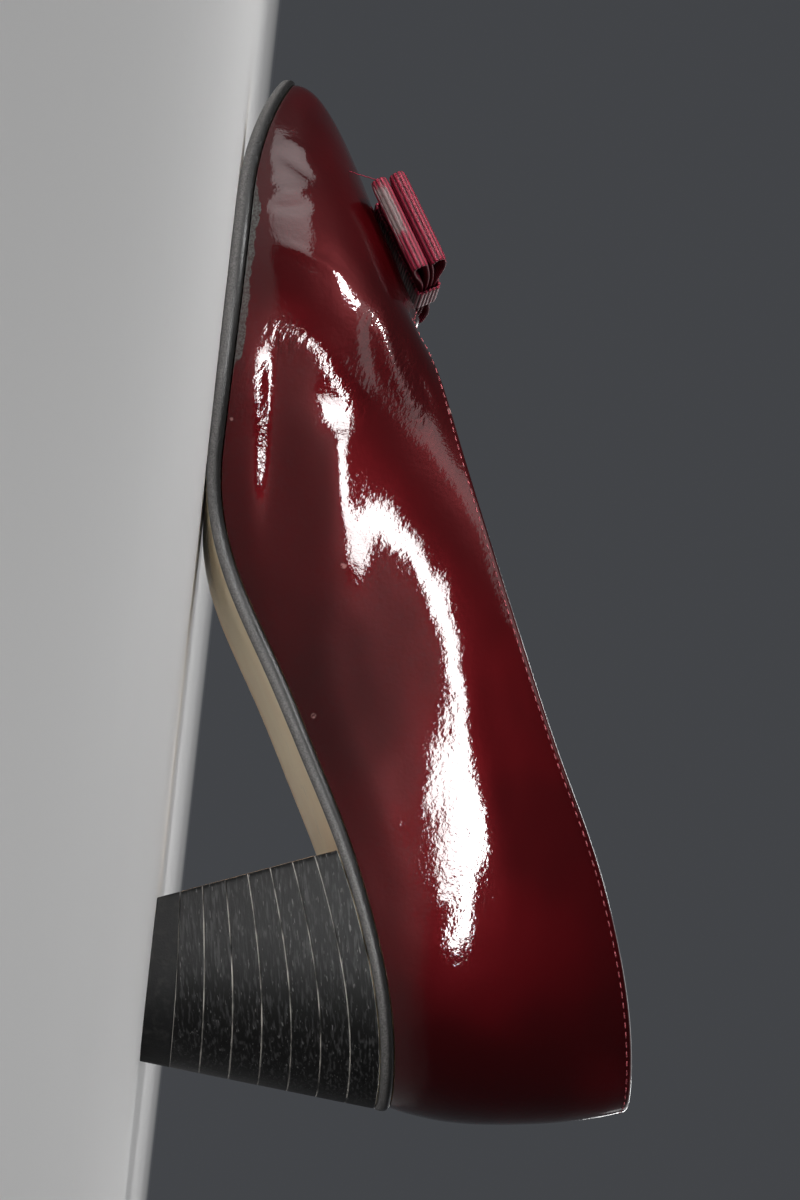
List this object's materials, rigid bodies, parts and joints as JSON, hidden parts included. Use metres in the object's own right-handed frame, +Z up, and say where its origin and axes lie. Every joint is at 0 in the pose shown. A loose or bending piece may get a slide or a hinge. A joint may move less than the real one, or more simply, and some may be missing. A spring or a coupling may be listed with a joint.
{
  "type": "low-heeled bow pump",
  "caption": "Women's closed-toe patent leather pump for the right foot, with a leather sole, a stacked block heel and a flat ribbon bow at the throat.",
  "frame": {"origin": "centre of the shoe's box in plan, on the floor that the tread and the heel stand on", "axes": "+X from heel to toe, +Y to the medial side, +Z up from the floor"},
  "size_m": [0.2514, 0.0746, 0.112],
  "materials": {
    "patent_leather": "high-gloss oxblood patent with fine wrinkles",
    "sole_leather": "natural leather, worn pale at the tread, with a black edge",
    "sock_leather": "plain matt sock leather",
    "lift_leather": "blacked lift sides, natural breast",
    "heel_rubber": "matt black",
    "ribbon": "crimson ribbed grosgrain"
  },
  "bodies": {
    "root": {"upper": "patent_leather", "outsole": "sole_leather", "insole": "sock_leather", "heel_lift_1": "lift_leather", "heel_lift_2": "lift_leather", "heel_lift_3": "lift_leather", "heel_lift_4": "lift_leather", "heel_lift_5": "lift_leather", "heel_lift_6": "lift_leather", "heel_lift_7": "lift_leather", "heel_top_piece": "heel_rubber", "bow_loop_lower": "ribbon", "bow_loop_upper": "ribbon", "bow_knot": "ribbon"}
  },
  "joints": []
}
